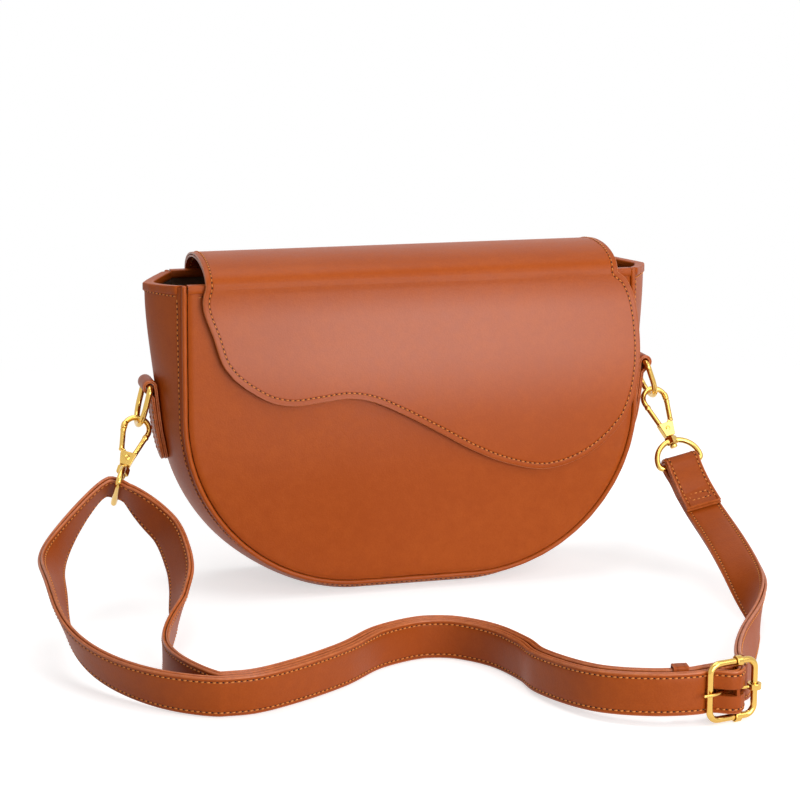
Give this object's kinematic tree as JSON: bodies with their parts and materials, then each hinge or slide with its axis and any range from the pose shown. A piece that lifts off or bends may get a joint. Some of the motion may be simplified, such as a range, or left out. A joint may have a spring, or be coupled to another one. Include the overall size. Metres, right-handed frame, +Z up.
{
  "type": "shoulder bag",
  "caption": "Half-moon leather shoulder bag with a wave-edged flap, ring tabs, swivel snap hooks and an adjustable buckled strap.",
  "frame": {"origin": "centre of the bag's flat base, where it stands", "axes": "+Z up, +X to the right seen from the front, -Y toward the front of the bag, where the strap lies"},
  "size_m": [0.4151, 0.3423, 0.1984],
  "materials": {
    "tan_leather": "smooth, fine grain",
    "piping_leather": "smooth",
    "lining_leather": "matt",
    "lining_cloth": "woven",
    "fibre_board": "pressed fibre board",
    "magnet_steel": "plain",
    "gold_plate": "polished plate"
  },
  "bodies": {
    "bag": {"front_panel": "tan_leather", "back_panel": "tan_leather", "gusset": "tan_leather", "front_piping": "piping_leather", "back_piping": "piping_leather", "rim_binding_front": "tan_leather", "rim_binding_back": "tan_leather", "rim_binding_left": "tan_leather", "rim_binding_right": "tan_leather", "flap_sewn_end": "tan_leather", "panel_magnet": "magnet_steel", "front_stiffener": "fibre_board", "back_stiffener": "fibre_board", "base_board": "fibre_board", "lining_front": "lining_cloth", "lining_back": "lining_cloth", "lining_gusset": "lining_cloth", "ring_tab_left": "tan_leather", "ring_tab_right": "tan_leather"},
    "flap": {"flap_outer": "tan_leather", "flap_lining": "lining_leather", "flap_magnet": "magnet_steel"},
    "ring_left": {"tab_ring_left": "gold_plate"},
    "ring_right": {"tab_ring_right": "gold_plate"},
    "strap": {"strap_outer": "tan_leather", "strap_lining": "lining_leather", "strap_ring_left": "gold_plate", "strap_ring_right": "gold_plate", "buckle_frame": "gold_plate", "buckle_bar": "gold_plate"},
    "hook_left": {"hook_frame_left": "gold_plate", "gate_rivet_left": "gold_plate", "swivel_rivet_left": "gold_plate"},
    "hook_right": {"hook_frame_right": "gold_plate", "gate_rivet_right": "gold_plate", "swivel_rivet_right": "gold_plate"},
    "gate_left": {"hook_gate_left": "gold_plate"},
    "gate_right": {"hook_gate_right": "gold_plate"},
    "prong": {"buckle_prong": "gold_plate"},
    "keeper": {"keeper": "tan_leather"}
  },
  "joints": [
    {"name": "flap_hinge", "type": "hinge", "parent": "bag", "child": "flap", "pos_m": [0, 0.0371, 0.184], "axis": [-1, 0, 0], "range_deg": [0, 150]},
    {"name": "tab_ring_swing_left", "type": "hinge", "parent": "bag", "child": "ring_left", "pos_m": [-0.15046, 0, 0.1235], "axis": [0, 1, 0], "range_deg": [-2, 0]},
    {"name": "tab_ring_swing_right", "type": "hinge", "parent": "bag", "child": "ring_right", "pos_m": [0.15046, 0, 0.1235], "axis": [0, 1, 0], "range_deg": [0, 2]},
    {"name": "strap_lift", "type": "hinge", "parent": "bag", "child": "strap", "pos_m": [0.00129, 0, 0.10425], "axis": [-1, 0, -0.0026], "range_deg": [0, 20]},
    {"name": "hook_swivel_left", "type": "hinge", "parent": "strap", "child": "hook_left", "pos_m": [-0.16725, -0.01827, 0.08047], "axis": [0.3746, 0.5708, 0.7306], "range_deg": [-10, 10]},
    {"name": "hook_swivel_right", "type": "hinge", "parent": "strap", "child": "hook_right", "pos_m": [0.1645, -0.01705, 0.07841], "axis": [-0.2079, 0.5327, 0.8203], "range_deg": [-10, 10]},
    {"name": "gate_pivot_left", "type": "hinge", "parent": "hook_left", "child": "gate_left", "pos_m": [-0.16546, -0.01553, 0.08398], "axis": [0, 0.788, -0.6157], "range_deg": [0, 20], "stiffness_Nm_per_rad": 0.004},
    {"name": "gate_pivot_right", "type": "hinge", "parent": "hook_right", "child": "gate_right", "pos_m": [0.1635, -0.01449, 0.08234], "axis": [0, -0.8387, 0.5446], "range_deg": [0, 20], "stiffness_Nm_per_rad": 0.004},
    {"name": "prong_pivot", "type": "hinge", "parent": "strap", "child": "prong", "pos_m": [0.10344, -0.2913, 0.017], "axis": [0, 0, 1], "range_deg": [0, 2]},
    {"name": "keeper_slide", "type": "slide", "parent": "strap", "child": "keeper", "axis": [0.9904, -0.1376, 0.0136], "range_m": [-0.0015, 0.0015]}
  ]
}
